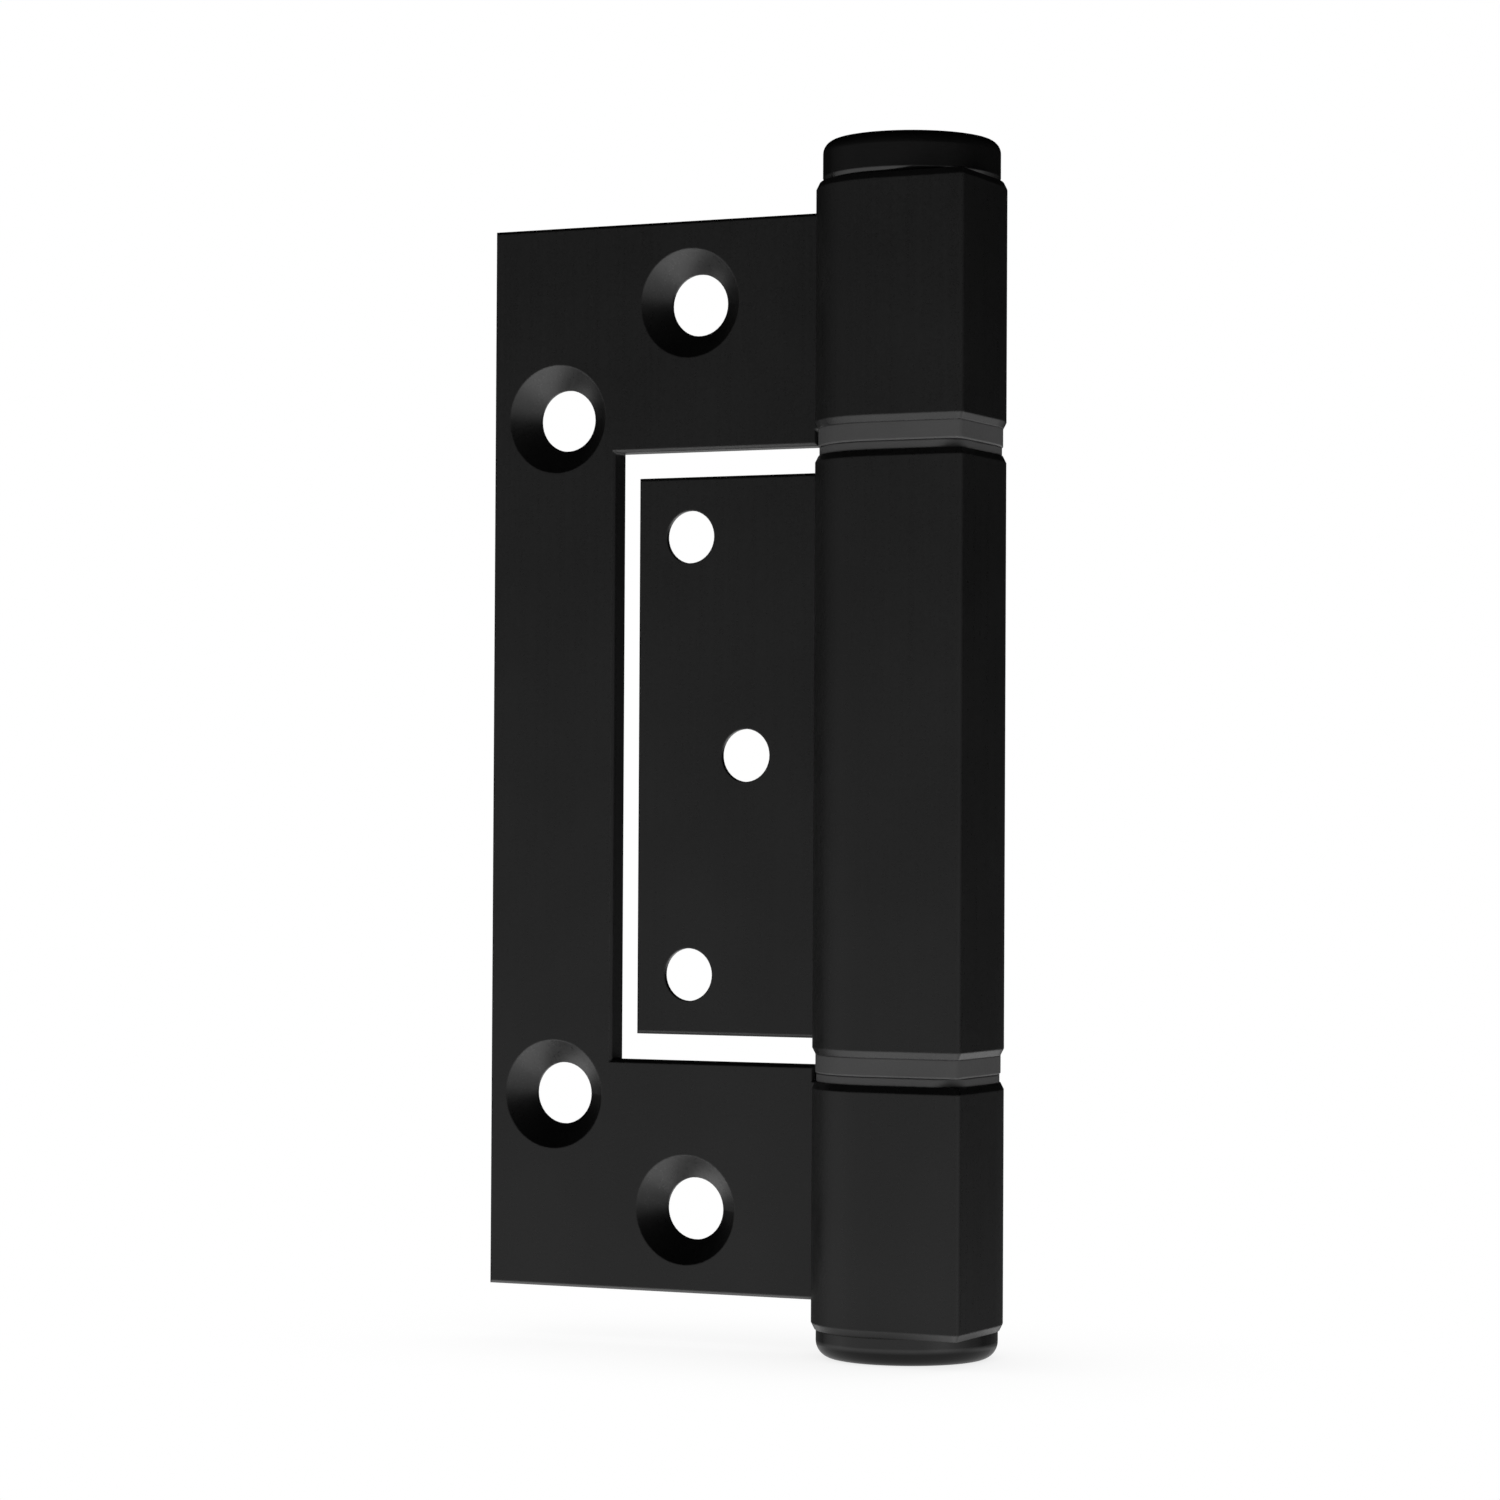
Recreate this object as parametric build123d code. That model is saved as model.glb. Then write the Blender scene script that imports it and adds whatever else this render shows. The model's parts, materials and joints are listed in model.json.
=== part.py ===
from build123d import *
import os

# Flush door hinge: two coated aluminium leaves on a steel pin, with nylon bushes and end caps.
# Lengths are in millimetres. +Z runs up the pin's axis, and the origin is at its mid-height.
# At rest the hinge is shut: both leaves lie in the plane Y = 0 and reach towards -X.

# Leaves.
LEAF_HEIGHT = 100.0
LEAF_THICKNESS = 2.5
LEAF_EDGE_CHAMFER = 0.25
OUTER_LEAF_REACH = 42.7
WINDOW_REACH = 29.8
WINDOW_HEIGHT = 57.0
INNER_LEAF_REACH = 27.2
INNER_LEAF_HEIGHT = 52.0

# Barrel: round, with one square corner at the front on the side away from the leaves.
BARREL_RADIUS = 8.75
BARREL_CORNER_ROUND = 0.6
BARREL_BORE_RADIUS = 5.5
BARREL_TOP = 52.3
MIDDLE_KNUCKLE_TOP = 27.3
OUTER_KNUCKLE_START = 29.8
KNUCKLE_CHAMFER_HEIGHT = 0.6
KNUCKLE_CHAMFER_INSET = 0.3
ARM_RING_GAP = 0.1

# Pin and its retaining rings.
PIN_RADIUS = 4.0
PIN_TOP = 47.4
PIN_END_CHAMFER = 0.6
GROOVE_RADIUS = 3.6
GROOVE_WIDTH = 0.9
RETAINING_RING_RADIUS = 5.1
RETAINING_RING_THICKNESS = 0.8
RETAINING_RING_GAP = 3.0
GRIP_FLUTES = 24
GRIP_FLUTE_RADIUS = 0.15
GRIP_END_MARGIN = 0.8

# Bushes and wear washers.
RUNNING_CLEARANCE = 0.05
SLEEVE_LENGTH = 7.5
SLEEVE_EDGE_CHAMFER = 0.3
END_BUSH_TOP = 45.5
FLANGE_THICKNESS = 1.7
FLANGE_INSET = 0.3
FLANGE_EDGE_CHAMFER = 0.1
WASHER_THICKNESS = 0.75
WASHER_INSET = 0.4
WASHER_CORNER_ROUND = 2.5

# End caps.
TOP_CAP_RADIUS = 8.15
TOP_CAP_HEIGHT = 3.9
TOP_CAP_TAPER = 0.5
TOP_CAP_TAPER_INSET = 0.16
TOP_CAP_ROUND = 1.2
BOTTOM_CAP_RADIUS = 8.3
BOTTOM_CAP_HEIGHT = 2.6
BOTTOM_CAP_ROUND = 1.6
PLUG_DEPTH = 4.5
PLUG_CORE_RADIUS = 5.2
PLUG_RIB_COUNT = 3
PLUG_RIB_PITCH = 1.4
PLUG_RIB_HEIGHT = 0.8
PLUG_RIB_SLOPE = 0.3

# Screw holes, as (distance from the pin's axis towards -X, height). Heads are 90 degree cones.
OUTER_HOLE_RADIUS = 2.9
OUTER_HEAD_RADIUS = 5.1
OUTER_HOLES = [(22.0, 42.3), (35.9, 31.9), (35.9, -31.9), (22.0, -42.3)]
INNER_HOLE_RADIUS = 2.45
INNER_HEAD_RADIUS = 4.5
INNER_HOLES = [(21.8, 20.4), (16.0, 0.0), (21.8, -20.4)]

# Worked out from the values above.
BUSH_BORE_RADIUS = PIN_RADIUS + RUNNING_CLEARANCE
LEAF_ROOT_REACH = (BARREL_RADIUS + BARREL_BORE_RADIUS) / 2
ARM_END_REACH = BARREL_RADIUS + ARM_RING_GAP


def span(shape, bottom, top):
    """Extrude a flat shape between two heights."""
    return Pos(0, 0, bottom) * extrude(shape, top - bottom)


def end_edges(solid):
    """The edges around a solid's lowest and highest faces."""
    levels = solid.edges().group_by(Axis.Z)
    return levels[0] + levels[-1]


def barrel_outline(inset, corner_round):
    """The barrel's section, drawn in by inset: a circle with one square corner at +X, -Y."""
    radius = BARREL_RADIUS - inset
    corner = Pos(radius / 2, -radius / 2) * Rectangle(radius, radius)
    tip = corner.vertices().sort_by(Axis.X)[-2:].sort_by(Axis.Y)[0]
    return Circle(radius) + fillet(tip, corner_round)


def knuckle(bottom, top):
    """One solid length of barrel with chamfered ends. Its bore is cut later."""
    blank = span(barrel_outline(0, BARREL_CORNER_ROUND), bottom, top)
    for end in (0, -1):
        face = blank.faces().sort_by(Axis.Z)[end]
        blank = chamfer(face.edges(), KNUCKLE_CHAMFER_INSET, KNUCKLE_CHAMFER_HEIGHT, reference=face)
    return blank


def leaf_plate(points):
    """A leaf plate from its outline of (X, Z) points, with eased edges on both faces."""
    outline = make_face(Polyline(*points, close=True))
    plate = Rot(90, 0, 0) * extrude(outline, LEAF_THICKNESS / 2, both=True)
    edge_rows = plate.edges().group_by(Axis.Y)
    return chamfer(edge_rows[0] + edge_rows[-1], LEAF_EDGE_CHAMFER)


def screw_cutter(hole_radius, head_radius):
    """A countersunk hole along Z through the leaf, with its cone opening at the top."""
    cone_depth = head_radius - hole_radius
    cone = Pos(0, 0, (LEAF_THICKNESS - cone_depth) / 2) * Cone(hole_radius, head_radius, cone_depth)
    return Cylinder(hole_radius, 2 * LEAF_THICKNESS) + cone


def cut_screw_holes(leaf, holes, hole_radius, head_radius, turn):
    """Cut each hole. A turn of 90 opens the heads towards -Y, and -90 towards +Y."""
    for reach, height in holes:
        leaf -= Pos(-reach, 0, height) * Rot(turn, 0, 0) * screw_cutter(hole_radius, head_radius)
    return leaf


def bore_cutter():
    return Cylinder(BARREL_BORE_RADIUS, 3 * BARREL_TOP)


def outer_leaf():
    """The frame's leaf: a plate with a window, and a knuckle above and below the window."""
    edge = LEAF_HEIGHT / 2
    sill = WINDOW_HEIGHT / 2
    lower_half = [
        (-LEAF_ROOT_REACH, -edge),
        (-LEAF_ROOT_REACH, -OUTER_KNUCKLE_START),
        (-ARM_END_REACH, -OUTER_KNUCKLE_START),
        (-ARM_END_REACH, -sill),
        (-WINDOW_REACH, -sill),
    ]
    upper_half = [(x, -z) for x, z in reversed(lower_half)]
    free_edge = [(-OUTER_LEAF_REACH, edge), (-OUTER_LEAF_REACH, -edge)]
    leaf = leaf_plate(lower_half + upper_half + free_edge)
    leaf += knuckle(OUTER_KNUCKLE_START, BARREL_TOP)
    leaf += knuckle(-BARREL_TOP, -OUTER_KNUCKLE_START)
    leaf -= bore_cutter()
    return cut_screw_holes(leaf, OUTER_HOLES, OUTER_HOLE_RADIUS, OUTER_HEAD_RADIUS, 90)


def inner_leaf():
    """The door's leaf: a plate that nests in the outer leaf's window, and the middle knuckle."""
    edge = INNER_LEAF_HEIGHT / 2
    leaf = leaf_plate(
        [
            (-LEAF_ROOT_REACH, -edge),
            (-LEAF_ROOT_REACH, edge),
            (-INNER_LEAF_REACH, edge),
            (-INNER_LEAF_REACH, -edge),
        ]
    )
    leaf += knuckle(-MIDDLE_KNUCKLE_TOP, MIDDLE_KNUCKLE_TOP)
    leaf -= bore_cutter()
    return cut_screw_holes(leaf, INNER_HOLES, INNER_HOLE_RADIUS, INNER_HEAD_RADIUS, -90)


def grip_band():
    """A fluted band that stands proud of the pin by the bushes' clearance and grips an end bush."""
    bottom = END_BUSH_TOP - SLEEVE_LENGTH + GRIP_END_MARGIN
    top = END_BUSH_TOP - GRIP_END_MARGIN
    band = span(Circle(BUSH_BORE_RADIUS), bottom, top)
    flute = Circle(GRIP_FLUTE_RADIUS)
    flutes = PolarLocations(BUSH_BORE_RADIUS, GRIP_FLUTES) * flute
    return band - span(Sketch() + flutes, bottom, top)


def hinge_pin():
    """The steel pin: grooved for a retaining ring near each end, with a grip band inside each groove."""
    pin = chamfer(end_edges(span(Circle(PIN_RADIUS), -PIN_TOP, PIN_TOP)), PIN_END_CHAMFER)
    groove_ring = Circle(PIN_RADIUS) - Circle(GROOVE_RADIUS)
    groove = span(groove_ring, END_BUSH_TOP, END_BUSH_TOP + GROOVE_WIDTH)
    flip = Rot(180, 0, 0)
    pin = pin - groove - flip * groove
    return pin + grip_band() + flip * grip_band()


def retaining_ring():
    """An open spring ring that sits in the pin's upper groove, on the end bush."""
    ring = Circle(RETAINING_RING_RADIUS) - Circle(GROOVE_RADIUS)
    ring -= Pos(0, RETAINING_RING_RADIUS) * Rectangle(RETAINING_RING_GAP, 2 * RETAINING_RING_RADIUS)
    return span(ring, END_BUSH_TOP, END_BUSH_TOP + RETAINING_RING_THICKNESS)


def sleeve(bottom):
    """A plain bush, chamfered outside at both ends so that it presses into a knuckle's bore."""
    blank = span(Circle(BARREL_BORE_RADIUS), bottom, bottom + SLEEVE_LENGTH)
    blank = chamfer(end_edges(blank), SLEEVE_EDGE_CHAMFER)
    return blank - Cylinder(BUSH_BORE_RADIUS, 3 * BARREL_TOP)


def ring_bush(flange_top):
    """A bush whose flange fills the joint between two knuckles, with its sleeve in the upper one."""
    outline = barrel_outline(FLANGE_INSET, BARREL_CORNER_ROUND)
    flange = span(outline, flange_top - FLANGE_THICKNESS, flange_top)
    flange = chamfer(flange.edges().group_by(Axis.Z)[0], FLANGE_EDGE_CHAMFER)
    stem = span(Circle(BARREL_BORE_RADIUS), flange_top, flange_top + SLEEVE_LENGTH)
    stem = chamfer(stem.edges().group_by(Axis.Z)[-1], SLEEVE_EDGE_CHAMFER)
    return flange + stem - Cylinder(BUSH_BORE_RADIUS, 3 * BARREL_TOP)


def wear_washer(bottom):
    """A thin washer that lies on a knuckle's upper end and carries the flange above it."""
    outline = barrel_outline(WASHER_INSET, WASHER_CORNER_ROUND) - Circle(BUSH_BORE_RADIUS)
    return span(outline, bottom, bottom + WASHER_THICKNESS)


def cap_plug():
    """A cap's plug, hanging from Z = 0, with tapered ribs that grip the knuckle's bore."""
    plug = span(Circle(PLUG_CORE_RADIUS), -PLUG_DEPTH, 0)
    for rib in range(PLUG_RIB_COUNT):
        low = -PLUG_DEPTH + rib * PLUG_RIB_PITCH
        blank = span(Circle(BARREL_BORE_RADIUS), low, low + PLUG_RIB_HEIGHT)
        plug += chamfer(blank.edges().group_by(Axis.Z)[0], PLUG_RIB_SLOPE)
    return plug


def top_cap():
    """A round cap with a tapered foot and a rounded upper edge."""
    head = span(Circle(TOP_CAP_RADIUS), TOP_CAP_TAPER, TOP_CAP_HEIGHT)
    head = fillet(head.edges().group_by(Axis.Z)[-1], TOP_CAP_ROUND)
    foot_radius = TOP_CAP_RADIUS - TOP_CAP_TAPER_INSET
    head += Pos(0, 0, TOP_CAP_TAPER / 2) * Cone(foot_radius, TOP_CAP_RADIUS, TOP_CAP_TAPER)
    return Pos(0, 0, BARREL_TOP) * (head + cap_plug())


def bottom_cap():
    """A shallow cap with a broad rounded edge. It is drawn upright, then turned over."""
    head = span(Circle(BOTTOM_CAP_RADIUS), 0, BOTTOM_CAP_HEIGHT)
    head = fillet(head.edges().group_by(Axis.Z)[-1], BOTTOM_CAP_ROUND)
    return Rot(180, 0, 0) * Pos(0, 0, BARREL_TOP) * (head + cap_plug())


def build_parts():
    """Every piece of the hinge in its place, by node name."""
    return {
        "outer_leaf": outer_leaf(),
        "inner_leaf": inner_leaf(),
        "hinge_pin": hinge_pin(),
        "upper_retaining_ring": retaining_ring(),
        "lower_retaining_ring": Rot(180, 0, 0) * retaining_ring(),
        "upper_end_bush": sleeve(END_BUSH_TOP - SLEEVE_LENGTH),
        "upper_ring_bush": ring_bush(OUTER_KNUCKLE_START),
        "upper_wear_washer": wear_washer(MIDDLE_KNUCKLE_TOP),
        "middle_top_bush": sleeve(MIDDLE_KNUCKLE_TOP - SLEEVE_LENGTH),
        "middle_ring_bush": ring_bush(-MIDDLE_KNUCKLE_TOP),
        "lower_wear_washer": wear_washer(-OUTER_KNUCKLE_START),
        "lower_top_bush": sleeve(-OUTER_KNUCKLE_START - SLEEVE_LENGTH),
        "lower_end_bush": sleeve(-END_BUSH_TOP),
        "top_cap": top_cap(),
        "bottom_cap": bottom_cap(),
    }


os.makedirs("parts", exist_ok=True)
for node, shape in build_parts().items():
    export_step(shape, f"parts/{node}.step")
    print(node, "volume", round(shape.volume, 1))
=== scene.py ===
import json
import math

import bpy
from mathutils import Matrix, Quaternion, Vector


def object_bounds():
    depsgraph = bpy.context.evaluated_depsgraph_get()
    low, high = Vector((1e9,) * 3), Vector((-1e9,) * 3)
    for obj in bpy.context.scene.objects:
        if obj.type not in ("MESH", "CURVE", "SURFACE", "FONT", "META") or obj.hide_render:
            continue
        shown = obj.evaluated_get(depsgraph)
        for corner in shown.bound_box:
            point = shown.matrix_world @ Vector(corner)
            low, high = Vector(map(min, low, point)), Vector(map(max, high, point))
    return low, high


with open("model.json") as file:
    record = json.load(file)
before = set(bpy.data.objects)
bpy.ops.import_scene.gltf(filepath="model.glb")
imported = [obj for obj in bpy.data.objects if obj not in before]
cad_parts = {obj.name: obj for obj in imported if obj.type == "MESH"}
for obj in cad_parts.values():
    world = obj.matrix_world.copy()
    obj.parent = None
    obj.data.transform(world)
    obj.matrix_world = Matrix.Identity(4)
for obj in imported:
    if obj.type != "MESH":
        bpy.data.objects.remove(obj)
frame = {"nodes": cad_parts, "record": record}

# A black flush door hinge, shut, standing on its bottom cap in a white studio. Lengths are in metres.

CAD_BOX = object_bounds()

# Camera: near mid-height, looking slightly up at the leaves from the front right.
CAMERA_AZIMUTH = math.radians(25.5)
CAMERA_PITCH = math.radians(1.11)
CAMERA_ROLL = math.radians(0.3)
CAMERA_DISTANCE = 0.4112
AIM_HEIGHT = 0.00039
AIM_BESIDE_PIN = 0.01456
LENS_MM = 108
SENSOR_MM = 36

# Floor. The hinge sees a painted shadow on it, dark from the pin out to the first of the disc radii below,
# and clear from the second.
FLOOR_HALF_SIZE = 30.0
SHADOW_REACH = 0.03
SHADOW_TONE = 0.8
SHADOW_ENDS_AT = 0.95
PAINTED_SHADOW_RADII = (0.0095, 0.0125)
PAINTED_SHADOW_TONE = 0.3
WHITE = (1.0, 1.0, 1.0, 1.0)

# Lights, as pairs of (sine of the elevation, level).
# The table lights from every side and the soft box from the front. Both fade to a share of it behind.
TABLE_LEVELS = [
    (-0.9, 2.15),
    (-0.75, 1.7),
    (-0.6, 1.15),
    (-0.43, 0.75),
    (-0.26, 0.35),
    (-0.1, 0.04),
    (0.0, 0.0),
]
TABLE_BEHIND = 0.65
SOFT_BOX_LEVELS = [
    (-0.6, 0.0),
    (-0.43, 0.2),
    (-0.26, 0.42),
    (-0.12, 0.47),
    (0.0, 0.25),
    (0.12, 0.07),
    (0.3, 0.01),
    (0.5, 0.0),
]
SOFT_BOX_BEHIND = 0.05
FRONT_TO_BACK = (-0.35, 0.35)
# The side panel is low at +X, and the back panel is low at +Y.
SIDE_PANEL_LEVELS = [(-0.6, 0.0), (-0.35, 0.25), (-0.12, 0.2), (0.06, 0.0)]
SIDE_PANEL_EDGE = (0.7, 0.95)
BACK_PANEL_LEVELS = [(-0.7, 0.0), (-0.5, 0.6), (-0.33, 0.55), (-0.2, 0.0)]
BACK_PANEL_EDGE = (0.2, 0.6)
BRIGHTEST = 2.5

# Surface textures. Scales are in features per metre, and ranges are where a noise value starts and ends.
MOTTLE_SCALE = 90
MOTTLE_RANGE = (0.35, 0.65)
LINE_SCALE = 2600
LINE_STRETCH = (1.0, 1.0, 0.012)
LINE_RELIEF = 1.5
RUB_SCALE = 420
RUB_RANGE = (0.42, 0.62)
RUB_AMOUNT = (0.15, 0.85)
NOISE_RANGE = (0.3, 0.7)
EDGE_RADIUS = 0.00018
EDGE_AGREEMENT = (0.995, 0.90)


# ---------------------------------------------------------------- node helpers


class Tree:
    """An owner's node tree. add() makes a node, then sets its inputs or links them to other nodes."""

    def __init__(self, owner):
        owner.use_nodes = True
        self.tree = owner.node_tree
        self.tree.nodes.clear()

    def add(self, kind, inputs=None, **settings):
        node = self.tree.nodes.new(kind)
        for name, value in settings.items():
            setattr(node, name, value)
        for name, value in (inputs or {}).items():
            self.put(node.inputs[name], value)
        return node

    def put(self, socket, value):
        if isinstance(value, bpy.types.NodeSocket):
            self.tree.links.new(value, socket)
        else:
            socket.default_value = value

    def maths(self, operation, first, second=0.0):
        return self.add("ShaderNodeMath", {0: first, 1: second}, operation=operation).outputs[0]

    def mapped(self, value, low, high, to_low, to_high):
        """The value carried from one range to another, and held inside it."""
        inputs = {"Value": value, "From Min": low, "From Max": high, "To Min": to_low, "To Max": to_high}
        return self.add("ShaderNodeMapRange", inputs).outputs["Result"]

    def mixed(self, factor, first, second):
        """A mix of two colours."""
        node = self.add("ShaderNodeMix", data_type="RGBA")
        self.put(node.inputs[0], factor)
        self.put(node.inputs[6], first)
        self.put(node.inputs[7], second)
        return node.outputs[2]

    def noise(self, coordinates, scale, detail=2.0, stretch=(1.0, 1.0, 1.0)):
        """Noise of about one feature per 1 / scale metres, finer along the axes with a larger stretch."""
        size = Vector(stretch) * scale
        placed = self.add("ShaderNodeMapping", {"Vector": coordinates, "Scale": size})
        inputs = {"Vector": placed.outputs["Vector"], "Scale": 1.0, "Detail": detail}
        return self.add("ShaderNodeTexNoise", inputs).outputs["Fac"]


def grey(value):
    return (value, value, value, 1.0)


# ---------------------------------------------------------------- materials


def surface(name, painted_shadow, light, rough, grain, grain_height, streak=0.0, edge_tone=None, **shader_values):
    """A procedural finish.

    dark and light are the grey levels that a slow mottle moves between. rough is the lowest and the
    highest roughness. grain is the fine texture's features per metre, and grain_height its relief.
    streak adds lines along Z. edge_tone is the grey of rubbed edges.
    """
    material = bpy.data.materials.new(name)
    t = Tree(material)
    place = t.add("ShaderNodeTexCoord").outputs["Object"]
    mottle = t.noise(place, MOTTLE_SCALE, detail=4.0)
    fine = t.noise(place, grain, detail=3.0)
    lines = t.noise(place, LINE_SCALE, detail=3.0, stretch=LINE_STRETCH)

    tone = t.mixed(t.mapped(mottle, *MOTTLE_RANGE, 0.0, 1.0), grey(painted_shadow), grey(light))
    roughness = t.mapped(fine, *NOISE_RANGE, *rough)
    if streak:
        roughness = t.maths("ADD", roughness, t.mapped(lines, *NOISE_RANGE, -streak, streak))
    rounded = t.add("ShaderNodeBevel", {"Radius": EDGE_RADIUS}, samples=4).outputs["Normal"]
    if edge_tone is not None:
        true_normal = t.add("ShaderNodeNewGeometry").outputs["Normal"]
        agreement = t.add("ShaderNodeVectorMath", {0: rounded, 1: true_normal}, operation="DOT_PRODUCT")
        edge = t.mapped(agreement.outputs["Value"], *EDGE_AGREEMENT, 0.0, 1.0)
        rubbed = t.mapped(t.noise(place, RUB_SCALE, detail=5.0), *RUB_RANGE, *RUB_AMOUNT)
        tone = t.mixed(t.maths("MULTIPLY", edge, rubbed), tone, grey(edge_tone))

    relief = t.maths("ADD", fine, t.maths("MULTIPLY", lines, LINE_RELIEF if streak else 0.0))
    bump_inputs = {"Height": relief, "Distance": grain_height, "Strength": 1.0, "Normal": rounded}
    bump = t.add("ShaderNodeBump", bump_inputs).outputs["Normal"]
    shader_inputs = {"Base Color": tone, "Roughness": roughness, "Normal": bump}
    shader = t.add("ShaderNodeBsdfPrincipled", shader_inputs)
    for socket, value in shader_values.items():
        shader.inputs[socket.replace("_", " ")].default_value = value
    t.add("ShaderNodeOutputMaterial", {"Surface": shader.outputs["BSDF"]})
    return material


def make_materials():
    """One finish for each material slot in the record."""
    return {
        "black_coat": surface(
            "black_coat", 0.0070, 0.0100, (0.27, 0.37), 5200, 0.0000035, streak=0.02, edge_tone=0.03
        ),
        "grey_nylon": surface("grey_nylon", 0.080, 0.095, (0.5, 0.62), 3800, 0.000004, edge_tone=0.09),
        "washer_nylon": surface("washer_nylon", 0.080, 0.095, (0.5, 0.62), 3800, 0.000004, edge_tone=0.10),
        "gloss_cap": surface(
            "gloss_cap", 0.006, 0.008, (0.13, 0.19), 2600, 0.0000015, edge_tone=0.012, Coat_Weight=0.3
        ),
        "pin_steel": surface(
            "pin_steel", 0.50, 0.60, (0.22, 0.34), 5200, 0.000002, streak=0.03, edge_tone=0.7, Metallic=1.0
        ),
        "ring_steel": surface(
            "ring_steel", 0.24, 0.32, (0.28, 0.38), 5200, 0.000002, edge_tone=0.45, Metallic=1.0
        ),
    }


def dress_cad_nodes(materials):
    """Give each CAD node the finish of its material slot in the record."""
    for part in frame["record"]["subparts"]:
        node = frame["nodes"][part["node"]]
        for place in node.material_slots:
            place.material = materials[part["material_slot"]]


# ---------------------------------------------------------------- studio


def make_floor():
    """A white floor under the bottom cap, with a faint contact shadow.

    The hinge itself sees the table's light through the floor, except close under the cap, where a dark disc
    is a painted shadow.
    """
    corners = [(-1, -1), (1, -1), (1, 1), (-1, 1)]
    points = [(x * FLOOR_HALF_SIZE, y * FLOOR_HALF_SIZE, CAD_BOX[0].z) for x, y in corners]
    mesh = bpy.data.meshes.new("floor")
    mesh.from_pydata(points, [], [(0, 1, 2, 3)])
    floor = bpy.data.objects.new("floor", mesh)
    bpy.context.scene.collection.objects.link(floor)
    material = bpy.data.materials.new("floor")
    t = Tree(material)
    open_sky = t.add("ShaderNodeAmbientOcclusion", {"Distance": SHADOW_REACH}, samples=8).outputs["AO"]
    shade = t.mapped(open_sky, 0.0, SHADOW_ENDS_AT, SHADOW_TONE, 1.0)
    glow = t.add("ShaderNodeEmission", {"Color": WHITE, "Strength": shade}).outputs[0]
    place = t.add("ShaderNodeTexCoord").outputs["Object"]
    flat = t.add("ShaderNodeVectorMath", {0: place, 1: (1.0, 1.0, 0.0)}, operation="MULTIPLY").outputs[0]
    from_pin = t.add("ShaderNodeVectorMath", {0: flat}, operation="LENGTH").outputs["Value"]
    beyond_disc = t.mapped(from_pin, *PAINTED_SHADOW_RADII, 0.0, 1.0)
    # Painted shadow: the dark disc under the cap, which the hinge sees when it reflects the floor.
    painted_shadow = t.add("ShaderNodeEmission", {"Color": WHITE, "Strength": PAINTED_SHADOW_TONE}).outputs[0]
    clear = t.add("ShaderNodeBsdfTransparent").outputs[0]
    as_lit = t.add("ShaderNodeMixShader", {0: beyond_disc, 1: painted_shadow, 2: clear}).outputs[0]
    camera_ray = t.add("ShaderNodeLightPath").outputs["Is Camera Ray"]
    both = t.add("ShaderNodeMixShader", {0: camera_ray, 1: as_lit, 2: glow}).outputs[0]
    t.add("ShaderNodeOutputMaterial", {"Surface": both})
    mesh.materials.append(material)


def make_world():
    """White behind the object, lit by a white table, a wide soft box and two low panels."""
    world = bpy.data.worlds.new("studio")
    bpy.context.scene.world = world
    t = Tree(world)
    direction = t.add("ShaderNodeTexCoord").outputs["Generated"]
    along = t.add("ShaderNodeSeparateXYZ", {"Vector": direction}).outputs

    def light_by_height(levels):
        ramp = t.add("ShaderNodeValToRGB", {"Fac": t.mapped(along["Z"], -1.0, 1.0, 0.0, 1.0)})
        while len(ramp.color_ramp.elements) < len(levels):
            ramp.color_ramp.elements.new(0.5)
        for element, (sine, level) in zip(ramp.color_ramp.elements, levels):
            element.position = (sine + 1) / 2
            element.color = grey(level / BRIGHTEST)
        return t.maths("MULTIPLY", ramp.outputs["Color"], BRIGHTEST)

    def light(levels, behind):
        fade = t.mapped(along["Y"], *FRONT_TO_BACK, 1.0, behind)
        return t.maths("MULTIPLY", light_by_height(levels), fade)

    def panel(levels, axis, edge):
        return t.maths("MULTIPLY", light_by_height(levels), t.mapped(along[axis], *edge, 0.0, 1.0))

    table = light(TABLE_LEVELS, TABLE_BEHIND)
    soft_box = light(SOFT_BOX_LEVELS, SOFT_BOX_BEHIND)
    side_panel = panel(SIDE_PANEL_LEVELS, "X", SIDE_PANEL_EDGE)
    back_panel = panel(BACK_PANEL_LEVELS, "Y", BACK_PANEL_EDGE)
    total = t.maths("ADD", t.maths("ADD", table, soft_box), t.maths("ADD", side_panel, back_panel))
    lit = t.add("ShaderNodeBackground", {"Color": WHITE, "Strength": total}).outputs[0]
    seen = t.add("ShaderNodeBackground", {"Color": WHITE, "Strength": 1.0}).outputs[0]
    camera_ray = t.add("ShaderNodeLightPath").outputs["Is Camera Ray"]
    both = t.add("ShaderNodeMixShader", {0: camera_ray, 1: lit, 2: seen}).outputs[0]
    t.add("ShaderNodeOutputWorld", {"Surface": both})


def make_camera():
    level = Vector((-math.sin(CAMERA_AZIMUTH), math.cos(CAMERA_AZIMUTH), 0))
    right = Vector((math.cos(CAMERA_AZIMUTH), math.sin(CAMERA_AZIMUTH), 0))
    up = Vector((0, 0, 1))
    forward = level * math.cos(CAMERA_PITCH) + up * math.sin(CAMERA_PITCH)
    aim = up * AIM_HEIGHT - right * AIM_BESIDE_PIN
    data = bpy.data.cameras.new("camera")
    data.sensor_width = SENSOR_MM
    data.lens = LENS_MM
    data.clip_start = 0.01
    camera = bpy.data.objects.new("camera", data)
    camera.location = aim - forward * CAMERA_DISTANCE
    turn = forward.to_track_quat("-Z", "Y") @ Quaternion((0, 0, 1), CAMERA_ROLL)
    camera.rotation_euler = turn.to_euler()
    bpy.context.scene.collection.objects.link(camera)
    bpy.context.scene.camera = camera


bpy.context.scene.view_settings.view_transform = "Standard"
dress_cad_nodes(make_materials())
make_floor()
make_world()
make_camera()
